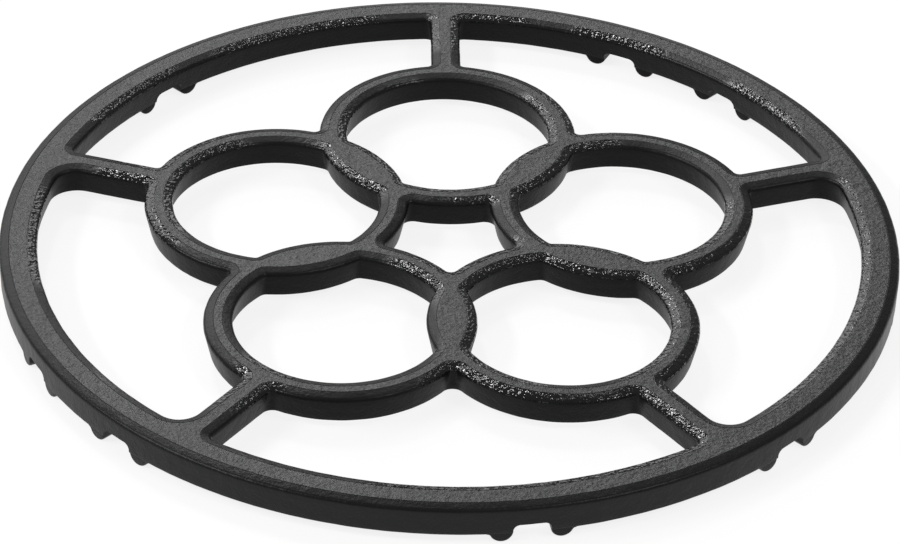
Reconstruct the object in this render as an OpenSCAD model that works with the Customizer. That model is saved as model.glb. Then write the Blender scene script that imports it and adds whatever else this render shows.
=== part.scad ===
// Wok ring: a flat cast iron ring that stands on the fingers of a gas hob.
// One casting: an outer rim, five spokes and a flower of five overlapping
// rings whose overlaps are filled. Notches with a half round lug on each
// side, cut into the underside of the rim, locate it on the hob's fingers.
// Frame: origin under the centre of the rim at the level of the lug tips,
// +Z up to the pan, +Y along the back spoke. Sizes are in millimetres.

/* [Show] */
// which node to draw

/* [Rim] */
// outer diameter of the rim
outer_d = 145; // [140:0.5:152]
// width of the rim at its widest level
rim_w = 6.2; // [5.6:0.1:7.4]
// thickness of the casting without the lugs
thick = 5.1; // [4.8:0.1:6.5]
// how much narrower the outer wall is at the underside
rim_draft = 0.1; // [0.05:0.05:0.3]

/* [Rings] */
// distance from the centre of the casting to the centre of each ring
ring_pitch = 29.7; // [29:0.1:30.4]
// outer radius of each ring
ring_ro = 21.5; // [21.2:0.1:22]
// width of the bar of each ring at its widest level
ring_w = 4.7; // [4.5:0.1:5.4]

/* [Spokes] */
// width of a spoke at its widest level
spoke_w = 5.1; // [4.9:0.1:6]

/* [Edges] */
// how far the top bevel reaches in from the round
bevel_w = 1.0; // [0.5:0.1:1.2]
// slope of the top bevel in degrees
bevel_tilt = 15; // [12:1:18]
// radius of the round between top bevel and wall
edge_r = 0.7; // [0.5:0.05:0.8]
// how far a wall draws in from the shoulder to the underside
draft = 0.9; // [0.6:0.1:1]
// radius of the round along the underside
foot_r = 0.5; // [0.4:0.05:0.55]

/* [Corners] */
// corner radius of the left and right windows at the rim
corner_big = 3.6; // [3:0.1:4]
// corner radius of the back and front windows at the rim
corner_small = 0.9; // [0.8:0.1:1.4]

/* [Locating lugs] */
// clear width of a notch between its two lugs
notch_w = 5.8; // [5:0.1:6.5]
// height of a notch above the underside of the rim
notch_h = 1.7; // [1.4:0.1:2]
// radius in the two upper corners of a notch
notch_r = 1.1; // [0.6:0.1:1.3]
// radius of the half round lugs
lug_r = 1.8; // [1.6:0.05:1.9]
// how far the lugs stand below the underside
lug_h = 1.4; // [1.2:0.1:1.5]
// angle of the pair of lugs that hobs with four and with five fingers share
lug_angle = 135; // [133:0.5:137]

/* [Hidden] */
arms = 5;
step_a = 360 / arms;
back_a = 90;
rim_ro = outer_d / 2;
rim_ri = rim_ro - rim_w;
ring_ri = ring_ro - ring_w;
zb = lug_h;
zt = lug_h + thick;
inset = bevel_w + edge_r * (1 - sin(bevel_tilt));
drop = bevel_w * tan(bevel_tilt);
shoulder_z = zt - drop - edge_r * cos(bevel_tilt);
grip = 1.03;
lap = 0.2;
lug_bite = 0.1;
end_out = 0.04;
end_in = 0.06;
over = 0.02;
foot_z = zb + foot_r * cos(20);
past = 1.5;
big = 96;
mid_rim = rim_ro - rim_w / 2;
mid_ring = ring_ro - ring_w / 2;
five = [for (k = [0:4]) lug_angle + k * 72];
four = [for (k = [1:3]) lug_angle + k * 90];

// Section of one side of a bar. x = 0 is the widest level and the solid lies
// at x < 0. The list goes from the top down, and edge_cuts rounds it. A cutter
// runs over the top and the underside by a little, so that it leaves no sliver.
function tilt_of(lean) = atan(lean / (shoulder_z - zb));
function wall_x(lean, z) = -edge_r + edge_r / cos(tilt_of(lean))
    - (shoulder_z - z) * tan(tilt_of(lean));
function foot_x(lean) = wall_x(lean, foot_z) - foot_r / cos(tilt_of(lean));
function foot_in(lean, over = 0) = foot_x(lean) + sqrt(pow(foot_r, 2) - pow(foot_z - zb + over, 2));
function corner_x(lean) = (wall_x(lean, zt) - inset * tan(bevel_tilt) * tan(tilt_of(lean)))
    / (1 + tan(bevel_tilt) * tan(tilt_of(lean)));
function side(lean, over = 0) = [
    [-inset - over / tan(bevel_tilt), zt + over],
    [corner_x(lean), zt - (corner_x(lean) + inset) * tan(bevel_tilt)],
    [wall_x(lean, zb - over), zb - over]
];
function shifted(pts, x, flip) = [for (p = pts) [x + flip * p[0], p[1]]];
function turned(pts) = [for (k = [len(pts) - 1:-1:0]) pts[k]];

// What rounds the two edges of a side away.
module edge_cuts(lean, over = 0) {
    t = tilt_of(lean);
    difference() {
        polygon([
            [-edge_r, shoulder_z],
            [-edge_r, shoulder_z] + 2 * edge_r * [sin(bevel_tilt), cos(bevel_tilt)],
            [2 * edge_r, shoulder_z + 2 * edge_r],
            [-edge_r, shoulder_z] + 2 * edge_r * [cos(t), -sin(t)]
        ]);
        translate([-edge_r, shoulder_z]) circle(r = edge_r + 0.004, $fn = 40);
    }
    difference() {
        polygon([
            [foot_x(lean), foot_z],
            [foot_x(lean), foot_z] + 2 * foot_r * [cos(t), -sin(t)],
            [foot_x(lean) + 2 * foot_r, zb - foot_r],
            [foot_in(lean, over), zb - foot_r],
            [foot_in(lean, over), foot_z]
        ]);
        translate([foot_x(lean), foot_z]) circle(r = foot_r + 0.004, $fn = 40);
    }
}

// Both sides of a bar that is w wide, centred on x = 0.
module bar_2d(w, lean_in, lean_out) {
    difference() {
        polygon(concat(shifted(side(lean_out), w / 2, 1), turned(shifted(side(lean_in), -w / 2, -1))));
        translate([w / 2, 0]) edge_cuts(lean_out);
        translate([-w / 2, 0]) mirror([1, 0]) edge_cuts(lean_in);
    }
}

// A closed ring of the bar section with outer radius ro.
module bar_ring(ro, w, lean_in, lean_out) {
    rotate_extrude($fn = big) translate([ro - w / 2, 0]) bar_2d(w, lean_in, lean_out);
}

// What lies outside one side of a bar, as a section: x goes from -len to far.
module outside_2d(len, far) {
    top_x = side(draft, over)[0][0];
    low_x = foot_in(draft, over);
    difference() {
        polygon([[top_x, zt + past], [far, zt + past], [far, zb - past], [low_x, zb - past],
            [low_x, foot_z], [top_x, shoulder_z]]);
        difference() {
            polygon(concat([[-len, zt + over]], side(draft, over), [[-len, zb - over]]));
            edge_cuts(draft, over);
        }
    }
}

// The space inside a hole of radius r, flared to match the edges around it.
// Its section is trimmed at the hole's own axis.
module hole(r) {
    rotate_extrude($fn = big) intersection() {
        translate([r, 0]) mirror([1, 0]) outside_2d(inset + 1, r + 1);
        translate([0, zb - 2 * past]) square([r + inset + 2, thick + 4 * past]);
    }
}

// A point turned about the axis of the casting.
function spin(p, a) = [p[0] * cos(a) - p[1] * sin(a), p[0] * sin(a) + p[1] * cos(a)];

// Corner of radius r between the rim and the spoke at angle a, on the side s
// of it. A block from the middle of both bars to the centre of the corner is
// hollowed by a flared hole. The hole runs a little deep, so that the filling
// crosses the walls it joins at an angle.
module rim_corner(s, r, a) {
    cy = s * (spoke_w / 2 + r);
    cx = sqrt(pow(rim_ri - r, 2) - cy * cy);
    f = (mid_rim - lap) / (rim_ri - r);
    at = spin([cx, cy], a);
    difference() {
        translate([0, 0, zb]) linear_extrude(thick)
            polygon([for (p = [[cx, cy], [cx, 0], [mid_rim, 0], [cx * f, cy * f]]) spin(p, a)]);
        translate([at[0], at[1], 0]) hole(r * grip);
    }
}

// One closed ring, at angle a.
module ring_at(a) {
    translate([ring_pitch * cos(a), ring_pitch * sin(a), 0]) bar_ring(ring_ro, ring_w, draft, draft);
}

// Fills the overlap of the ring at angle a and the next one.
module lens_at(a) {
    translate([0, 0, zb]) linear_extrude(thick) intersection() {
        translate(spin([ring_pitch, 0], a)) circle(r = mid_ring, $fn = big);
        translate(spin([ring_pitch, 0], a + step_a)) circle(r = mid_ring, $fn = big);
    }
}

module flower() {
    for (k = [0:arms - 1]) ring_at(back_a + k * step_a);
    for (k = [0:arms - 1]) lens_at(back_a + k * step_a);
}

// What lies outside one side of a bar along +X whose widest level is at y.
module beside(y, x0, x1) {
    translate([x0, y, 0]) rotate([90, 0, 90]) linear_extrude(x1 - x0) outside_2d(inset + 1, past);
}

// The spoke at angle a: a plain bar with both its edges cut to the section.
module spoke(a) {
    x0 = ring_pitch + mid_ring;
    w = spoke_w / 2 + past / 2;
    difference() {
        translate([0, 0, zb]) linear_extrude(thick)
            polygon([for (p = [[x0, -w], [mid_rim, -w], [mid_rim, w], [x0, w]]) spin(p, a)]);
        rotate(a) for (s = [0, 1]) mirror([0, s, 0]) beside(spoke_w / 2, x0 - past, mid_rim + past);
    }
}

// Half round lugs either side of one notch, along +X.
module lug_pair() {
    cy = notch_w / 2 + lug_r - lug_bite;
    for (s = [-1, 1])
        translate([rim_ri - 2, s * cy, lug_r]) rotate([0, 90, 0])
            cylinder(r = lug_r, h = rim_w + 4, $fn = 40);
}

// Space of one notch, along +X.
module notch() {
    w = notch_w / 2 - notch_r;
    translate([rim_ri - 3, 0, 0]) rotate([90, 0, 90]) linear_extrude(rim_w + 6) {
        translate([-notch_w / 2, -1]) square([notch_w, zb + notch_h + 1 - notch_r]);
        translate([-w, 0]) square([2 * w, zb + notch_h]);
        for (s = [-1, 1])
            translate([s * w, zb + notch_h - notch_r]) circle(r = notch_r, $fn = 40);
    }
}

module lugs() {
    intersection() {
        union() {
            for (a = concat(five, four)) rotate(a) lug_pair();
        }
        difference() {
            translate([0, 0, -1]) cylinder(r = rim_ro - rim_draft - end_out, h = 1 + zb + lug_r, $fn = 180);
            translate([0, 0, -2]) cylinder(r = rim_ri + draft + end_in, h = zb + lug_r + 4, $fn = 180);
        }
    }
}

// The corners of all windows at the rim, larger in the left and right windows.
module corners() {
    for (k = [0:arms - 1], s = [-1, 1]) {
        large = s == (k == 1 || k == 3 ? 1 : -1) && k > 0;
        rim_corner(s, large ? corner_big : corner_small, back_a + k * step_a);
    }
}

// Rim, rings and spokes with the filled corners between them.
module frame() {
    bar_ring(rim_ro, rim_w, draft, rim_draft);
    flower();
    for (k = [0:arms - 1]) spoke(back_a + k * step_a);
    corners();
}

module wok_ring() {
    color([0.17, 0.17, 0.18]) difference() {
        union() {
            union() frame();
            lugs();
        }
        for (a = concat(five, four)) rotate(a) notch();
    }
}

wok_ring();
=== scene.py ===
"""Cast iron wok ring on a pale studio floor: its shape, finish, light and camera.

Lengths are in millimetres while the shapes are worked out, and become metres
when a mesh is made. The frame is the part's own: origin under the centre of
the rim at the level of the lug tips, +Z up, +Y along the back spoke.
"""
from __future__ import annotations

import logging
import math
from dataclasses import dataclass, field
from enum import Enum

import bpy
import numpy as np
from mathutils import Matrix, Vector
from mathutils.geometry import delaunay_2d_cdt

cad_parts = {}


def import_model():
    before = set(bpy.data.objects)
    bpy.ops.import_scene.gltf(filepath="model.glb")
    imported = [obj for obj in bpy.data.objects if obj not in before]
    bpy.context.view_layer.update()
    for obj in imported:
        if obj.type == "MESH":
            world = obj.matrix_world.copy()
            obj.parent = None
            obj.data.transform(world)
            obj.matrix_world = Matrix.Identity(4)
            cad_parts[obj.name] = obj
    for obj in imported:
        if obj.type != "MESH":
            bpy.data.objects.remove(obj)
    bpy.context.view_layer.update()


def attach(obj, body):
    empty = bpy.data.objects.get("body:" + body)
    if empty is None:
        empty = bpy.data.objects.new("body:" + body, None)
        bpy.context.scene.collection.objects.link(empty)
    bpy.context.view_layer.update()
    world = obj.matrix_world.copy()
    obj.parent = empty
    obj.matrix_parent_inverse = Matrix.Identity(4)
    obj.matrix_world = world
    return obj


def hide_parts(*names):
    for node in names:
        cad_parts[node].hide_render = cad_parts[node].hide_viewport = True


LOG = logging.getLogger("wok_ring")
MM = 0.001
IMAGE_SIZE = (900, 544)


class Lean(Enum):
    """How far a wall draws in from its shoulder to the underside."""

    OUTER = 0.1
    INNER = 0.9


class Hollow(Enum):
    """The kinds of opening that the casting has."""

    WINDOW = "window"
    PETAL = "petal"
    HEART = "heart"


@dataclass
class Outline:
    """A closed line in plan, with the direction into the metal at each point.

    Attributes:
        points: Places along the line, one row each.
        inward: Unit directions into the metal, one row for each point.
    """

    points: np.ndarray
    inward: np.ndarray

    def turned(self, angle: float) -> Outline:
        """Turns the outline about the axis of the casting.

        Args:
            angle: Turn in degrees, counter-clockwise seen from above.

        Returns:
            The turned outline.
        """
        a = math.radians(angle)
        turn = np.array([[math.cos(a), math.sin(a)], [-math.sin(a), math.cos(a)]])
        return Outline(self.points @ turn, self.inward @ turn)

    def mirrored(self) -> Outline:
        """Mirrors the outline across the x axis and reverses its direction."""
        flip = np.array([1.0, -1.0])
        return Outline(self.points[::-1] * flip, self.inward[::-1] * flip)


def joined(pieces: list[Outline]) -> Outline:
    """Puts stretches end to end and drops the points that come twice.

    Args:
        pieces: Stretches in order along the line.

    Returns:
        One closed outline.
    """
    points = np.vstack([p.points for p in pieces])
    inward = np.vstack([p.inward for p in pieces])
    step = np.linalg.norm(points - np.roll(points, 1, axis=0), axis=1)
    keep = step > 1e-4
    return Outline(points[keep], inward[keep])


def arc(centre: np.ndarray, radius: float, start: float, end: float, side: int) -> Outline:
    """Samples an arc: centre + radius * (cos a, sin a), with a in even steps.

    Args:
        centre: Centre in plan.
        radius: Radius of the arc.
        start: First angle in degrees.
        end: Last angle in degrees.
        side: 1 where the metal lies outside the arc, -1 where inside.

    Returns:
        The arc as an open stretch.
    """
    sweep = abs(end - start)
    count = max(math.ceil(math.radians(sweep) * radius / 0.5), math.ceil(sweep / 8.0), 2)
    a = np.radians(np.linspace(start, end, count + 1))
    ray = np.column_stack([np.cos(a), np.sin(a)])
    return Outline(centre + radius * ray, side * ray)


def straight(start: np.ndarray, end: np.ndarray, inward: np.ndarray) -> Outline:
    """Samples a straight stretch in even steps.

    Args:
        start: First point.
        end: Last point.
        inward: Unit direction into the metal.

    Returns:
        The stretch.
    """
    count = max(math.ceil(float(np.linalg.norm(end - start)) / 0.5), 2)
    share = np.linspace(0.0, 1.0, count + 1)[:, None]
    points = start + (end - start) * share
    return Outline(points, np.tile(inward, (len(points), 1)))


def heading(v: np.ndarray) -> float:
    """Angle of a plan vector in degrees, from -180 to 180."""
    return math.degrees(math.atan2(v[1], v[0]))


def polar(radius: float, angle: float) -> np.ndarray:
    """Point at a radius and an angle in degrees from the axis."""
    a = math.radians(angle)
    return radius * np.array([math.cos(a), math.sin(a)])


def after(angle: float, least: float) -> float:
    """The same heading as angle, in the turn that follows least."""
    return least + (angle - least) % 360.0


@dataclass(frozen=True)
class EdgeSection:
    """Section of one side of a bar, from the flat top round to the underside."""

    top: float = 6.5
    base: float = 1.4
    bevel_width: float = 1.0
    bevel_tilt: float = 15.0
    edge_radius: float = 0.7
    groove_width: float = 0.16
    groove_depth: float = 0.04
    foot_radius: float = 0.5
    foot_turn: float = 70.0
    round_steps: int = 7
    foot_steps: int = 5
    wall_steps: int = 4

    def points(self, lean: Lean) -> np.ndarray:
        """Works the section out: a groove, a bevel, a round, a leaning wall and a foot round.

        The shallow groove lies where the flat top meets the bevel. The bevel
        falls at bevel_tilt to the round, whose centre lies edge_radius behind
        the widest level. The wall touches both rounds and leans so that it
        draws in by the given lean on its way down.

        Args:
            lean: Draw of the wall.

        Returns:
            Rows of distance into the metal and height, from the top down.
        """
        tilt = math.radians(self.bevel_tilt)
        r, f = self.edge_radius, self.foot_radius
        shoulder = self.top - self.bevel_width * math.tan(tilt) - r * math.cos(tilt)
        wall = math.atan(lean.value / (shoulder - self.base))
        a = np.linspace(math.pi / 2 - tilt, -wall, self.round_steps + 1)
        upper = np.column_stack([r - r * np.cos(a), shoulder + r * np.sin(a)])
        foot_z = self.base + f * math.sin(math.radians(self.foot_turn))
        wall_in = r - r / math.cos(wall) + (shoulder - foot_z) * math.tan(wall)
        foot_in = wall_in + f / math.cos(wall)
        b = np.linspace(-wall, -math.radians(self.foot_turn), self.foot_steps + 1)
        lower = np.column_stack([foot_in - f * np.cos(b), foot_z + f * np.sin(b)])
        share = np.linspace(0.0, 1.0, self.wall_steps + 1)[1:-1, None]
        middle = upper[-1] + (lower[0] - upper[-1]) * share
        crest = self.bevel_width + r * (1 - math.sin(tilt))
        width, depth = self.groove_width, self.groove_depth
        groove = np.array([[crest + width, self.top], [crest + 0.4 * width, self.top - depth],
                           [crest, self.top - 0.2 * depth]])
        return np.vstack([groove, upper, middle, lower])


@dataclass(frozen=True)
class Unevenness:
    """Slow waver of the cast edges, as a sum of a few plane waves in plan."""

    depth: float = 0.035
    waves: tuple[tuple[float, float, float], ...] = (
        (11.0, 20.0, 0.3), (7.3, 95.0, 1.9), (4.9, 160.0, 4.2), (3.1, 50.0, 2.6), (2.3, 125.0, 5.0))

    def at(self, plan: np.ndarray) -> np.ndarray:
        """Adds up the waves: depth * (1 + mean of sin(2 pi p.d / length + phase)).

        Args:
            plan: Points in plan, one row each.

        Returns:
            Distance into the metal for each point, never negative.
        """
        total = np.zeros(len(plan))
        for length, angle, phase in self.waves:
            along = plan @ polar(1.0, angle)
            total += np.sin(2 * math.pi * along / length + phase)
        return self.depth * (1.0 + total / len(self.waves))


def mesh_object(name: str, vertices: np.ndarray, faces: list[tuple[int, ...]]) -> bpy.types.Object:
    """Makes an object from points in millimetres and links it to the scene.

    Args:
        name: Name of the object and of its mesh.
        vertices: Points, one row each.
        faces: Corners of each face.

    Returns:
        The object, at the origin and unturned.
    """
    mesh = bpy.data.meshes.new(name)
    mesh.from_pydata((vertices * MM).tolist(), [], faces)
    mesh.update()
    made = bpy.data.objects.new(name, mesh)
    bpy.context.scene.collection.objects.link(made)
    return made


def grid_faces(rows: int, columns: int, first: int = 0, closed: bool = True) -> np.ndarray:
    """Corners of the quads of a grid whose rows run along the outline.

    Args:
        rows: Points along the outline.
        columns: Points down the section.
        first: Number of the grid's first point.
        closed: Whether the last row meets the first.

    Returns:
        One row of four point numbers for each quad.
    """
    i = np.arange(rows if closed else rows - 1)[:, None]
    j = np.arange(columns - 1)[None, :]
    k = (i + 1) % rows
    corners = [i * columns + j, k * columns + j, k * columns + j + 1, i * columns + j + 1]
    return first + np.stack(np.broadcast_arrays(*corners), axis=-1).reshape(-1, 4)


@dataclass
class Plan:
    """Plan of the casting: a rim, five spokes and a flower of five rings."""

    rim_outer: float = 72.5
    rim_width: float = 6.2
    pitch: float = 29.7
    ring_outer: float = 21.5
    ring_width: float = 4.7
    spoke_width: float = 5.1
    arms: int = 5
    first_spoke: float = 90.0
    large_corner: float = 3.6
    small_corner: float = 0.9
    ring_corner: float = 0.9
    fork_corner: float = 0.9
    lens_corner: float = 0.6

    @property
    def step(self) -> float:
        """Angle from one spoke to the next."""
        return 360.0 / self.arms

    def rim(self) -> Outline:
        """The outer wall: a circle with the metal inside it."""
        return joined([arc(np.zeros(2), self.rim_outer, 0.0, 360.0, -1)])

    def half_window(self, rim_corner: float) -> list[Outline]:
        """Half of a window, from the middle of the rim round to the fork of two rings.

        The window's middle lies along +X and a spoke along step / 2. Every
        corner is an arc that touches both its neighbours: its centre lies its
        radius away from each of them.

        Args:
            rim_corner: Radius of the corner between rim and spoke.

        Returns:
            Stretches in order, counter-clockwise round the window.
        """
        half = self.step / 2
        rim_inner = self.rim_outer - self.rim_width
        w = self.spoke_width / 2
        along, across = polar(1.0, half), polar(1.0, half + 90.0)
        ring = self.pitch * along

        offset = w + rim_corner
        rim_centre = math.sqrt((rim_inner - rim_corner) ** 2 - offset ** 2) * along - offset * across
        offset = w + self.ring_corner
        reach = math.sqrt((self.ring_outer + self.ring_corner) ** 2 - offset ** 2)
        ring_centre = (self.pitch + reach) * along - offset * across
        fork = self.fork(1)

        to_ring = after(heading(ring - ring_centre), half + 90.0)
        from_fork = heading(ring - fork)
        return [
            arc(np.zeros(2), rim_inner, 0.0, heading(rim_centre), 1),
            arc(rim_centre, rim_corner, heading(rim_centre), half + 90.0, 1),
            straight(rim_centre + rim_corner * across, ring_centre + self.ring_corner * across, across),
            arc(ring_centre, self.ring_corner, half + 90.0, to_ring, 1),
            arc(ring, self.ring_outer, heading(ring_centre - ring), heading(fork - ring), -1),
            arc(fork, self.fork_corner, from_fork, 180.0, 1),
        ]

    def fork(self, side: int) -> np.ndarray:
        """Centre of the corner between two neighbour rings, on +X.

        Args:
            side: 1 for the outer crossing of the rings, -1 for the inner one.

        Returns:
            Its place, where the rings lie at plus and minus half a step.
        """
        half = math.radians(self.step / 2)
        across = self.pitch * math.sin(half)
        reach = math.sqrt((self.ring_outer + self.fork_corner) ** 2 - across ** 2)
        return np.array([self.pitch * math.cos(half) + side * reach, 0.0])

    def window(self, index: int) -> Outline:
        """The window after a spoke, with its own corners at the rim.

        Args:
            index: Number of the spoke before it, counter-clockwise.

        Returns:
            The window's outline in place.
        """
        large = index in (1, 3)
        radius = self.large_corner if large else self.small_corner
        upper = self.half_window(radius)
        lower = [piece.mirrored() for piece in reversed(upper)]
        turn = self.first_spoke + (index + 0.5) * self.step
        return joined(upper + lower).turned(turn)

    def petal(self, index: int) -> Outline:
        """The hole of a ring: its own inner circle, cut by its neighbours' discs.

        Args:
            index: Number of the ring's spoke.

        Returns:
            The hole's outline in place.
        """
        own = np.array([self.pitch, 0.0])
        inner = self.ring_outer - self.ring_width
        other = polar(self.pitch, self.step)
        gap = float(np.linalg.norm(other - own))
        toward = (other - own) / gap
        normal = np.array([-toward[1], toward[0]])
        q = self.lens_corner
        a = ((inner - q) ** 2 - (self.ring_outer + q) ** 2 + gap ** 2) / (2 * gap)
        h = math.sqrt((inner - q) ** 2 - a ** 2)
        far, near = own + a * toward - h * normal, own + a * toward + h * normal
        start = heading(far - own)
        turn_in = after(heading(other - near), -90.0)
        upper = [
            arc(own, inner, 0.0, start, 1),
            arc(far, q, start, after(heading(other - far), start), 1),
            arc(other, self.ring_outer, heading(far - other), heading(near - other), -1),
            arc(near, q, turn_in, after(heading(near - own), turn_in), 1),
            arc(own, inner, after(heading(near - own), 0.0), 180.0, 1),
        ]
        lower = [piece.mirrored() for piece in reversed(upper)]
        return joined(upper + lower).turned(self.first_spoke + index * self.step)

    def heart(self) -> Outline:
        """The opening in the middle, between the near sides of the rings.

        Each ring gives an arc of its outer circle, and each two neighbours
        meet in a small arc that touches both.

        Returns:
            The opening's outline.
        """
        pieces = []
        inner = abs(self.fork(-1)[0])
        for k in range(self.arms):
            a = self.first_spoke + k * self.step
            ring = polar(self.pitch, a)
            ahead, behind = polar(inner, a + self.step / 2), polar(inner, a - self.step / 2)
            start = after(heading(behind - ring), 0.0)
            end = start - (start - heading(ahead - ring)) % 360.0
            pieces.append(arc(ring, self.ring_outer, start, end, -1))
            turn = heading(ring - ahead)
            following = polar(self.pitch, a + self.step)
            pieces.append(arc(ahead, self.fork_corner, turn, after(heading(following - ahead), turn), 1))
        return joined(pieces)

    def hollows(self) -> list[tuple[Hollow, Outline]]:
        """Lists every opening of the casting.

        Returns:
            The kind and the outline of each: windows, petals and the heart.
        """
        made = [(Hollow.WINDOW, self.window(k)) for k in range(self.arms)]
        made += [(Hollow.PETAL, self.petal(k)) for k in range(self.arms)]
        return made + [(Hollow.HEART, self.heart())]


@dataclass
class LocatingLugs:
    """Half round lugs in pairs under the rim, with a notch between each pair."""

    notch_width: float = 5.8
    notch_height: float = 1.7
    notch_radius: float = 1.1
    lug_radius: float = 1.8
    lug_height: float = 1.4
    bite: float = 0.1
    shared_angle: float = 135.0
    blend: float = 0.7
    end_round: float = 0.35

    def angles(self) -> list[float]:
        """Middles of the pairs: five and four round the rim, with one in common.

        Returns:
            Angles in degrees.
        """
        five = [self.shared_angle + 72.0 * k for k in range(5)]
        four = [self.shared_angle + 90.0 * k for k in range(1, 4)]
        return five + four

    def lug_curve(self) -> np.ndarray:
        """Lower line of one lug: a half round that blends into the underside.

        The half round is a circle of lug_radius whose centre lies lug_radius
        above the tip. A smaller circle of radius blend lies beside it, and
        touches the lug from outside and the underside from below.

        Returns:
            Rows of sideways place and height, from the notch outwards.
        """
        r, b = self.lug_radius, self.blend
        base = self.lug_height
        # the blend's centre lies b below the underside and r + b from the lug's centre
        drop = r - (base - b)
        reach = math.sqrt((r + b) ** 2 - drop ** 2)
        touch = math.atan2(-drop, reach)
        a = np.linspace(math.radians(-180.0), touch, 22)
        lug = np.column_stack([r * np.cos(a), r + r * np.sin(a)])
        c = np.linspace(math.pi + touch, math.pi / 2, 7)
        flare = np.column_stack([reach + b * np.cos(c), base - b + b * np.sin(c)])
        return np.vstack([lug, flare[1:]])

    def lug(self, angle: float, side: int, inner: float, outer: float, name: str) -> bpy.types.Object:
        """Sweeps the lug's line along the rim's width and rounds its two ends.

        A point of the line at sideways place y and radius rho lies at
        (sqrt(rho^2 - y^2), y), so that the ends follow the rim's walls. Near an
        end the line is drawn in along a quarter round.

        Args:
            angle: Middle of the pair in degrees.
            side: 1 or -1, the side of the notch.
            inner: Radius of the lug's inner end.
            outer: Radius of its outer end.
            name: Name of the object.

        Returns:
            A closed solid that reaches up into the rim.
        """
        line = self.lug_curve()
        roof = np.array([[line[-1, 0], self.lug_height + 1.2], [line[0, 0], self.lug_height + 1.2]])
        loop = np.vstack([line, roof])
        turn = np.radians(np.linspace(0.0, 90.0, 5))
        ends = self.end_round * (1 - np.sin(turn))
        rho = np.concatenate([inner + self.end_round * (1 - np.cos(turn)),
                              outer - self.end_round * (1 - np.cos(turn[::-1]))])
        draw = np.concatenate([ends, ends[::-1]])
        middle = np.array([0.0, self.lug_height + 0.6])
        rows = []
        for radius, inset in zip(rho, draw):
            away = loop - middle
            size = np.linalg.norm(away, axis=1, keepdims=True)
            section = middle + away * (1 - np.minimum(inset / size, 0.9))
            y = side * (section[:, 0] + self.notch_width / 2 + self.lug_radius - self.bite)
            rows.append(np.column_stack([np.sqrt(radius ** 2 - y ** 2), y, section[:, 1]]))
        vertices = np.vstack(rows)
        count = len(loop)
        i = np.arange(len(rho) - 1)[:, None] * count
        j = np.arange(count)[None, :]
        k = (j + 1) % count
        quads = np.stack(np.broadcast_arrays(i + j, i + k, i + count + k, i + count + j), axis=-1)
        faces = [tuple(q) for q in quads.reshape(-1, 4).tolist()]
        faces.append(tuple(range(count)))
        faces.append(tuple(range(len(vertices) - count, len(vertices)))[::-1])
        return mesh_object(name, spun(vertices, angle), faces)

    def notch(self, angle: float, inner: float, outer: float, name: str) -> bpy.types.Object:
        """Block that cuts one notch: an upright slot with two rounded upper corners.

        Args:
            angle: Middle of the notch in degrees.
            inner: Radius at which the block starts.
            outer: Radius at which it ends.
            name: Name of the object.

        Returns:
            The closed block.
        """
        w, r = self.notch_width / 2, self.notch_radius
        roof = self.lug_height + self.notch_height
        a = np.radians(np.linspace(0.0, 90.0, 9))
        right = np.column_stack([w - r + r * np.cos(a), roof - r + r * np.sin(a)])
        left = right[::-1] * np.array([-1.0, 1.0])
        loop = np.vstack([[[w, -1.0]], right, left, [[-w, -1.0]]])
        count = len(loop)
        ends = [np.column_stack([np.full(count, x), loop]) for x in (inner, outer)]
        vertices = np.vstack(ends)
        j = np.arange(count)
        k = (j + 1) % count
        faces = [tuple(q) for q in np.column_stack([j, k, k + count, j + count]).tolist()]
        faces.append(tuple(range(count))[::-1])
        faces.append(tuple(range(count, 2 * count)))
        return mesh_object(name, spun(vertices, angle), faces)


def spun(vertices: np.ndarray, angle: float) -> np.ndarray:
    """Turns points about the vertical axis.

    Args:
        vertices: Points, one row each.
        angle: Turn in degrees.

    Returns:
        The turned points.
    """
    a = math.radians(angle)
    c, s = math.cos(a), math.sin(a)
    return vertices @ np.array([[c, s, 0.0], [-s, c, 0.0], [0.0, 0.0, 1.0]])


def crossed(points: np.ndarray, line: np.ndarray) -> np.ndarray:
    """Counts how often a ray toward +X from each point crosses a closed line.

    An edge counts where its ends lie on either side of the point's level and
    the point lies left of the edge at that level. An odd sum means inside.

    Args:
        points: Points in plan.
        line: Corners of the closed line.

    Returns:
        Number of crossings for each point.
    """
    a, b = line, np.roll(line, -1, axis=0)
    x, y = points[:, :1], points[:, 1:]
    spans = (a[:, 1] > y) != (b[:, 1] > y)
    rise = np.where(b[:, 1] == a[:, 1], 1.0, b[:, 1] - a[:, 1])
    at = a[:, 0] + (y - a[:, 1]) * (b[:, 0] - a[:, 0]) / rise
    return np.sum(spans & (x < at), axis=1)


def face_outwards(obj: bpy.types.Object, merge: float = 0.0) -> None:
    """Merges points that lie together and turns every face outwards.

    Args:
        obj: A closed mesh.
        merge: Distance in metres within which points become one.
    """
    import bmesh
    work = bmesh.new()
    work.from_mesh(obj.data)
    if merge:
        bmesh.ops.remove_doubles(work, verts=work.verts, dist=merge)
    bmesh.ops.recalc_face_normals(work, faces=work.faces)
    work.to_mesh(obj.data)
    work.free()
    obj.data.update()


def cut_or_join(body: bpy.types.Object, tools: list[bpy.types.Object], operation: str) -> None:
    """Runs one exact boolean of a body with several tools and removes the tools.

    Args:
        body: Object whose mesh takes the result.
        tools: Closed solids.
        operation: UNION or DIFFERENCE.
    """
    for tool in tools:
        face_outwards(tool)
    with bpy.context.temp_override(active_object=tools[0], selected_editable_objects=tools):
        bpy.ops.object.join()
    modifier = body.modifiers.new("work", "BOOLEAN")
    modifier.operation = operation
    modifier.solver = "EXACT"
    modifier.object = tools[0]
    shown = bpy.context.evaluated_depsgraph_get()
    result = bpy.data.meshes.new_from_object(body.evaluated_get(shown))
    body.modifiers.clear()
    body.data = result
    bpy.data.objects.remove(tools[0])


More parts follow.
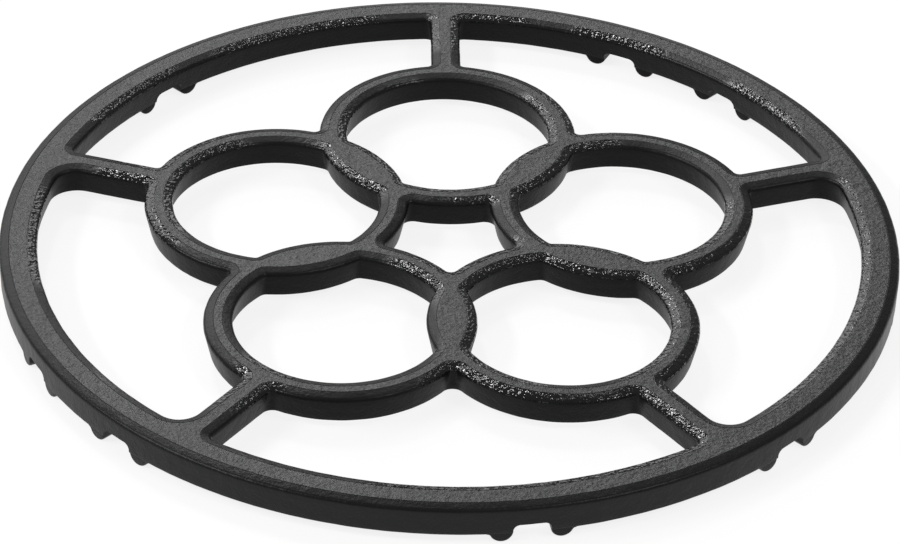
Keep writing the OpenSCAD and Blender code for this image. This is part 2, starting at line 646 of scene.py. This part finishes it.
@dataclass
class Casting:
    """The wok ring's one casting, as a skin round the plan and its sections."""

    plan: Plan = field(default_factory=Plan)
    section: EdgeSection = field(default_factory=EdgeSection)
    uneven: Unevenness = field(default_factory=Unevenness)
    lugs: LocatingLugs = field(default_factory=LocatingLugs)
    crease: float = 12.0

    def walls(self) -> tuple[np.ndarray, list[tuple[int, ...]], list[np.ndarray], list[np.ndarray]]:
        """Carries the section along every outline.

        A point of a wall is the outline's point moved into the metal by the
        section's inset and the waver, at the section's height.

        Returns:
            All points, all quads, and the point numbers of each top and each
            bottom line, the rim's first.
        """
        bands = [(self.plan.rim(), Lean.OUTER)]
        bands += [(outline, Lean.INNER) for _, outline in self.plan.hollows()]
        vertices, faces, crests, soles = [], [], [], []
        first = 0
        for outline, lean in bands:
            section = self.section.points(lean)
            waver = self.uneven.at(outline.points)
            inset = section[None, :, 0] + waver[:, None]
            place = outline.points[:, None, :] + outline.inward[:, None, :] * inset[:, :, None]
            height = np.broadcast_to(section[None, :, 1, None], place.shape[:2] + (1,))
            vertices.append(np.concatenate([place, height], axis=2).reshape(-1, 3))
            rows, columns = len(outline.points), len(section)
            faces += [tuple(q) for q in grid_faces(rows, columns, first).tolist()]
            start = first + np.arange(rows) * columns
            crests.append(start)
            soles.append(start + columns - 1)
            first += rows * columns
        return np.vstack(vertices), faces, crests, soles

    @staticmethod
    def flat(vertices: np.ndarray, lines: list[np.ndarray]) -> list[tuple[int, ...]]:
        """Fills the flat between the rim's line and the lines of the openings.

        Args:
            vertices: All points of the walls.
            lines: Point numbers of each closed line, the outer one first.

        Returns:
            Triangles, as numbers of the walls' points.
        """
        numbers = np.concatenate(lines)
        places = [Vector(p) for p in vertices[numbers, :2].tolist()]
        edges, first = [], 0
        for line in lines:
            here = first + np.arange(len(line))
            edges += list(zip(here.tolist(), np.roll(here, -1).tolist()))
            first += len(line)
        _, _, faces, source, _, _ = delaunay_2d_cdt(places, edges, [], 1, 1e-6)
        origin = numbers[np.array([s[0] for s in source])]
        corners = origin[np.array(faces)]
        middle = vertices[corners, :2].mean(axis=1)
        crossings = sum(crossed(middle, vertices[line, :2]) for line in lines)
        return [tuple(c) for c in corners[crossings % 2 == 1].tolist()]

    def build(self) -> bpy.types.Object:
        """Builds the whole casting: walls, flats, lugs and notches.

        Returns:
            One closed piece, shaded smooth but for its creases.
        """
        vertices, faces, crests, soles = self.walls()
        faces += self.flat(vertices, crests)
        faces += self.flat(vertices, soles)
        body = mesh_object("wok_ring_casting", vertices, faces)
        face_outwards(body)
        inner = self.plan.rim_outer - self.plan.rim_width + Lean.INNER.value + 0.12
        outer = self.plan.rim_outer - Lean.OUTER.value - 0.12
        studs, blocks = [], []
        for n, angle in enumerate(self.lugs.angles()):
            for side in (-1, 1):
                studs.append(self.lugs.lug(angle, side, inner, outer, f"stud_{n}_{side + 1}"))
            blocks.append(self.lugs.notch(angle, inner - 5.0, outer + 3.0, f"block_{n}"))
        cut_or_join(body, studs, "UNION")
        cut_or_join(body, blocks, "DIFFERENCE")
        face_outwards(body, merge=2e-6)
        body.data.shade_smooth()
        body.data.set_sharp_from_angle(angle=math.radians(self.crease))
        return body


@dataclass
class NodeDesk:
    """Short ways to add the nodes that the finishes need.

    Attributes:
        material: The material whose tree is being filled.
    """

    material: bpy.types.Material

    @classmethod
    def named(cls, name: str) -> NodeDesk:
        """Makes an empty node material and a desk for it.

        Args:
            name: Name of the material.

        Returns:
            The desk.
        """
        material = bpy.data.materials.new(name)
        material.use_nodes = True
        material.node_tree.nodes.clear()
        return cls(material)

    def add(self, kind: str, **inputs: object) -> bpy.types.Node:
        """Adds a node and feeds its inputs with values or with other sockets.

        Args:
            kind: Type name of the node without its ShaderNode prefix.
            **inputs: Values or sockets by input name, with _ for a space.

        Returns:
            The node.
        """
        node = self.material.node_tree.nodes.new("ShaderNode" + kind)
        for name, value in inputs.items():
            self.feed(node.inputs[name.replace("_", " ")], value)
        return node

    def feed(self, socket: bpy.types.NodeSocket, value: object) -> None:
        """Sets a socket's own value, or links another socket to it.

        Args:
            socket: The input that is fed.
            value: A value for it, or the output that is linked to it.
        """
        if isinstance(value, bpy.types.NodeSocket):
            self.material.node_tree.links.new(value, socket)
        else:
            socket.default_value = value

    def sum_of(self, operation: str, first: object, second: object, clamp: bool = False) -> bpy.types.NodeSocket:
        """Works out one operation on two numbers or sockets.

        Args:
            operation: Name of the operation.
            first: First operand.
            second: Second operand.
            clamp: Whether the result stays between 0 and 1.

        Returns:
            The socket of the result.
        """
        node = self.material.node_tree.nodes.new("ShaderNodeMath")
        node.operation = operation
        node.use_clamp = clamp
        self.feed(node.inputs[0], first)
        self.feed(node.inputs[1], second)
        return node.outputs[0]

    def ranged(self, source: object, low: float, high: float, start: float, end: float) -> bpy.types.NodeSocket:
        """Maps low..high of a socket to start..end, held at both ends.

        Args:
            source: Socket to map.
            low: Value that becomes start.
            high: Value that becomes end.
            start: First result.
            end: Last result.

        Returns:
            The socket of the result.
        """
        node = self.add("MapRange", Value=source, From_Min=low, From_Max=high, To_Min=start, To_Max=end)
        return node.outputs["Result"]

    def between(self, share: object, first: object, second: object) -> bpy.types.NodeSocket:
        """Blends two numbers or sockets by a share.

        Args:
            share: 0 for the first, 1 for the second.
            first: Value at 0.
            second: Value at 1.

        Returns:
            The socket of the result.
        """
        node = self.add("Mix")
        for socket, value in zip((node.inputs[0], node.inputs[2], node.inputs[3]), (share, first, second)):
            self.feed(socket, value)
        return node.outputs[0]

    def blend(self, share: object, first: object, second: object) -> bpy.types.NodeSocket:
        """Blends two colours by a share.

        Args:
            share: 0 for the first, 1 for the second.
            first: Colour or socket at 0.
            second: Colour or socket at 1.

        Returns:
            The socket of the blended colour.
        """
        node = self.add("Mix")
        node.data_type = "RGBA"
        self.feed(node.inputs[0], share)
        for socket, colour in zip((node.inputs[6], node.inputs[7]), (first, second)):
            self.feed(socket, (*colour, 1.0) if isinstance(colour, tuple) else colour)
        return node.outputs[2]

    def noise(self, place: object, scale: float, detail: float, rough: float) -> bpy.types.NodeSocket:
        """Adds a noise pattern.

        Args:
            place: Socket of the coordinates.
            scale: Cells for each metre.
            detail: Number of finer octaves.
            rough: Strength of the finer octaves.

        Returns:
            The socket of its value.
        """
        return self.add("TexNoise", Vector=place, Scale=scale, Detail=detail, Roughness=rough).outputs["Fac"]

    def finish(self, shader: bpy.types.Node) -> bpy.types.Material:
        """Joins a shader to the output.

        Args:
            shader: The node whose first output is the surface.

        Returns:
            The finished material.
        """
        output = self.material.node_tree.nodes.new("ShaderNodeOutputMaterial")
        self.feed(output.inputs["Surface"], shader.outputs[0])
        return self.material


@dataclass(frozen=True)
class CastFinish:
    """Dull dark finish of a raw casting: grainy flats, walls darkened by painted shade, glossy stretches.

    The flats carry a fine grain, and the walls a weaker one on a darker tone: the dark iron with painted shade
    over it, which the bevels and the glossy stretches take as well.
    Along the shoulders, the stretches that a slow noise picks are glossy and
    dimpled, so that they break up the lamps' glints. The outer half of the
    rim has no such stretches, and its walls shine more than the inner walls.
    How level a place is comes from the upright part of its own normal.
    """

    name: str = "dark_cast_iron"
    flat_dark: tuple[float, float, float] = (0.006, 0.0061, 0.0066)
    flat_pale: tuple[float, float, float] = (0.046, 0.0465, 0.048)
    # painted shade over the dark iron: the darker tone that the walls, the bevels and the glossy stretches take
    dark_iron_and_painted_shade: tuple[float, float, float] = (0.005, 0.0051, 0.0055)
    ior: float = 1.45
    inner_shine: float = 0.11
    outer_shine: float = 0.26
    full_shine: float = 0.5
    rim_middle: float = 0.0694
    grain: float = 2100.0
    pebble: float = 700.0
    dimple: float = 1500.0
    cloud: float = 30.0
    patch: float = 42.0
    flat_rough: tuple[float, float] = (0.36, 0.44)
    patch_rough: tuple[float, float] = (0.08, 0.13)
    wall_rough: tuple[float, float] = (0.34, 0.42)
    grain_depth: float = 0.00014
    pebble_depth: float = 0.00020
    dimple_depth: float = 0.00020

    def build(self) -> bpy.types.Material:
        """Makes the node material, with all its patterns on Object coordinates.

        Returns:
            The material.
        """
        desk = NodeDesk.named(self.name)
        place = desk.add("TexCoord").outputs["Object"]
        normal = desk.add("NewGeometry").outputs["Normal"]
        upward = desk.add("SeparateXYZ", Vector=normal).outputs["Z"]
        level = desk.ranged(desk.sum_of("ABSOLUTE", upward, 0.0), 0.970, 0.990, 0.0, 1.0)
        outer = desk.ranged(self.radius(desk, place), self.rim_middle - MM, self.rim_middle + MM, 0.0, 1.0)
        gloss = self.patches(desk, place, upward, outer)

        grain = desk.noise(place, self.grain, 2.0, 0.6)
        pebble = desk.noise(place, self.pebble, 2.0, 0.5)
        dimple = desk.noise(place, self.dimple, 1.0, 0.5)
        cloud = desk.noise(place, self.cloud, 3.0, 0.5)

        tone = desk.blend(desk.ranged(grain, 0.40, 0.68, 0.0, 1.0), self.flat_dark, self.flat_pale)
        # painted shade: the walls and the bevels, and then the glossy stretches, take the darker tone in place
        # of the flats' grain
        tone = desk.blend(level, self.dark_iron_and_painted_shade, tone)
        tone = desk.blend(gloss, tone, self.dark_iron_and_painted_shade)

        flat_rough = desk.ranged(cloud, 0.3, 0.7, *self.flat_rough)
        patch_rough = desk.ranged(cloud, 0.3, 0.7, *self.patch_rough)
        wall_rough = desk.ranged(cloud, 0.3, 0.7, *self.wall_rough)
        rough = desk.between(gloss, desk.between(level, wall_rough, flat_rough), patch_rough)

        flat_height = desk.sum_of("ADD", desk.sum_of("MULTIPLY", grain, self.grain_depth),
                                  desk.sum_of("MULTIPLY", pebble, self.pebble_depth))
        patch_height = desk.sum_of("MULTIPLY", dimple, self.dimple_depth)
        wall_height = desk.sum_of("MULTIPLY", flat_height, 0.35)
        height = desk.between(gloss, desk.between(level, wall_height, flat_height), patch_height)
        bump = desk.add("Bump", Distance=1.0, Height=height)

        side_shine = desk.between(outer, self.inner_shine, self.outer_shine)
        shoulder = desk.ranged(upward, 0.08, 0.40, 0.0, 1.0)
        side_shine = desk.between(shoulder, side_shine, self.outer_shine)
        shine = desk.between(desk.sum_of("MAXIMUM", level, gloss), side_shine, self.full_shine)
        shader = desk.add("BsdfPrincipled", Base_Color=tone, Roughness=rough, IOR=self.ior,
                          Specular_IOR_Level=shine, Normal=bump.outputs["Normal"])
        return desk.finish(shader)

    @staticmethod
    def radius(desk: NodeDesk, place: bpy.types.NodeSocket) -> bpy.types.NodeSocket:
        """Distance of each place from the casting's axis: the length of (x, y, 0).

        Args:
            desk: Desk of the material.
            place: Socket of the coordinates.

        Returns:
            The socket of the distance in metres.
        """
        plan = desk.add("VectorMath")
        plan.operation = "MULTIPLY"
        desk.feed(plan.inputs[0], place)
        desk.feed(plan.inputs[1], (1.0, 1.0, 0.0))
        reach = desk.add("VectorMath")
        reach.operation = "LENGTH"
        desk.feed(reach.inputs[0], plan.outputs["Vector"])
        return reach.outputs["Value"]

    def patches(self, desk: NodeDesk, place: bpy.types.NodeSocket, upward: bpy.types.NodeSocket,
                outer: bpy.types.NodeSocket) -> bpy.types.NodeSocket:
        """Glossy stretches of the shoulders: a slow noise, held off flats, walls and the rim's outside.

        Args:
            desk: Desk of the material.
            place: Socket of the coordinates.
            upward: Upright part of the normal.
            outer: 1 on the outer half of the rim.

        Returns:
            The socket of the patches' strength.
        """
        slow = desk.ranged(desk.noise(place, self.patch, 1.0, 0.5), 0.43, 0.50, 0.0, 1.0)
        above = desk.ranged(upward, 0.10, 0.30, 0.0, 1.0)
        below = desk.ranged(upward, 0.975, 0.99, 1.0, 0.0)
        inside = desk.ranged(outer, 0.0, 1.0, 1.0, 0.0)
        return desk.sum_of("MULTIPLY", desk.sum_of("MULTIPLY", slow, inside),
                           desk.sum_of("MULTIPLY", above, below))


@dataclass(frozen=True)
class FloorFinish:
    """Matt white paper that the lens and reflections see nearly burnt out.

    Lamps light it as plain paper. Rays from the camera, glossy rays and rays
    through glass see that paper mixed with an even white, so that its shadow
    stays but is faint.
    """

    name: str = "white_paper"
    colour: tuple[float, float, float] = (0.94, 0.94, 0.94)
    white: float = 1.05
    share: float = 0.8

    def build(self) -> bpy.types.Material:
        """Makes the floor's node material.

        Returns:
            The material.
        """
        desk = NodeDesk.named(self.name)
        paper = desk.add("BsdfDiffuse", Color=(*self.colour, 1.0), Roughness=0.0)
        even = desk.add("Emission", Color=(1.0, 1.0, 1.0, 1.0), Strength=self.white)
        ray = desk.add("LightPath").outputs
        seen = desk.sum_of("ADD", ray["Is Camera Ray"], ray["Is Glossy Ray"])
        seen = desk.sum_of("ADD", seen, ray["Is Transmission Ray"], clamp=True)
        mix = desk.add("MixShader", Fac=desk.sum_of("MULTIPLY", seen, self.share))
        desk.feed(mix.inputs[1], paper.outputs[0])
        desk.feed(mix.inputs[2], even.outputs[0])
        return desk.finish(mix)


@dataclass(frozen=True)
class Softbox:
    """A flat soft lamp that looks at the casting."""

    name: str
    azimuth: float
    elevation: float
    distance: float
    width: float
    height: float
    level: float

    def build(self) -> bpy.types.Object:
        """Makes the lamp: its power is pi * area * level, so level is its brightness.

        Returns:
            The lamp object.
        """
        data = bpy.data.lights.new(self.name, "AREA")
        data.shape = "RECTANGLE"
        data.size, data.size_y = self.width, self.height
        data.energy = math.pi * self.width * self.height * self.level
        lamp = bpy.data.objects.new(self.name, data)
        a, e = math.radians(self.azimuth), math.radians(self.elevation)
        toward = Vector((math.cos(a) * math.cos(e), math.sin(a) * math.cos(e), math.sin(e)))
        lamp.location = toward * self.distance
        lamp.rotation_mode = "QUATERNION"
        lamp.rotation_quaternion = toward.to_track_quat("Z", "Y")
        bpy.context.scene.collection.objects.link(lamp)
        return lamp


@dataclass
class Studio:
    """Pale floor, soft lamps and an even surround."""

    half_floor: float = 4.0
    surround: float = 0.28
    lamps: tuple[Softbox, ...] = (
        Softbox("back_softbox", 111.0, 28.0, 1.6, 2.0, 0.65, 2.4),
        Softbox("high_key", 112.0, 52.0, 1.6, 0.16, 0.28, 34.0),
        Softbox("right_high_key", 71.0, 59.0, 1.6, 0.14, 0.14, 18.0),
        Softbox("left_key", 195.0, 42.0, 1.5, 0.80, 0.14, 26.0),
        Softbox("right_key", 322.0, 50.0, 1.5, 0.36, 0.14, 22.0),
    )

    def build(self) -> None:
        """Makes the floor, the lamps and the world."""
        n = 9
        ticks = np.linspace(-self.half_floor, self.half_floor, n) / MM
        x, y = np.meshgrid(ticks, ticks, indexing="ij")
        vertices = np.column_stack([x.ravel(), y.ravel(), np.zeros(n * n)])
        quads = [tuple(q) for q in grid_faces(n, n, closed=False).tolist()]
        floor = mesh_object("paper_floor", vertices, quads)
        if floor.data.polygons[0].normal.z < 0:
            floor.data.flip_normals()
        floor.data.materials.append(FloorFinish().build())
        for lamp in self.lamps:
            lamp.build()
        world = bpy.data.worlds.new("surround")
        world.use_nodes = True
        world.node_tree.nodes["Background"].inputs["Color"].default_value = (1.0, 1.0, 1.0, 1.0)
        world.node_tree.nodes["Background"].inputs["Strength"].default_value = self.surround
        bpy.context.scene.world = world


@dataclass(frozen=True)
class PhotoView:
    """Camera of the photograph, as fitted to the casting's outline.

    The lengths of the fit are shares of the rim's outer radius, and the point
    looked at lies in the plane of the casting's top.
    """

    focal_pixels: float = 3962.8153
    elevation: float = 34.81913
    azimuth: float = -1.655282
    roll: float = 1.531884
    aim: tuple[float, float] = (-0.00223243, -0.16091356)
    distance: float = 8.69190238
    rim_radius: float = 72.5
    top: float = 6.5

    def build(self) -> bpy.types.Object:
        """Makes the camera and sets it as the scene's.

        Returns:
            The camera object.
        """
        a, e, r = (math.radians(v) for v in (self.azimuth, self.elevation, self.roll))
        back = Vector((math.sin(a) * math.cos(e), -math.cos(a) * math.cos(e), math.sin(e)))
        level = Vector((math.cos(a), math.sin(a), 0.0))
        upright = back.cross(level)
        right = math.cos(r) * level + math.sin(r) * upright
        up = back.cross(right)
        unit = self.rim_radius * MM
        spot = Vector((self.aim[0] * unit, self.aim[1] * unit, self.top * MM))
        data = bpy.data.cameras.new("photo_camera")
        data.sensor_width = 36.0
        data.lens = self.focal_pixels * data.sensor_width / IMAGE_SIZE[0]
        data.clip_start, data.clip_end = 0.05, 20.0
        camera = bpy.data.objects.new("photo_camera", data)
        turn = Matrix((right, up, back)).transposed().to_4x4()
        camera.matrix_world = Matrix.Translation(spot + back * self.distance * unit) @ turn
        bpy.context.scene.collection.objects.link(camera)
        bpy.context.scene.camera = camera
        return camera


def main() -> None:
    """Builds the camera, the studio and the casting in order and reports each."""
    logging.basicConfig(level=logging.INFO, format="%(message)s")
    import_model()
    bpy.context.scene.view_settings.view_transform = "Standard"
    PhotoView().build()
    Studio().build()
    LOG.info("camera, floor and lamps are up")

    casting = Casting().build()
    casting.data.materials.clear()
    casting.data.materials.append(CastFinish().build())
    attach(casting, "root")
    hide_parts("wok_ring")
    LOG.info("%s: %d faces", casting.name, len(casting.data.polygons))


if __name__ == "__main__":
    main()
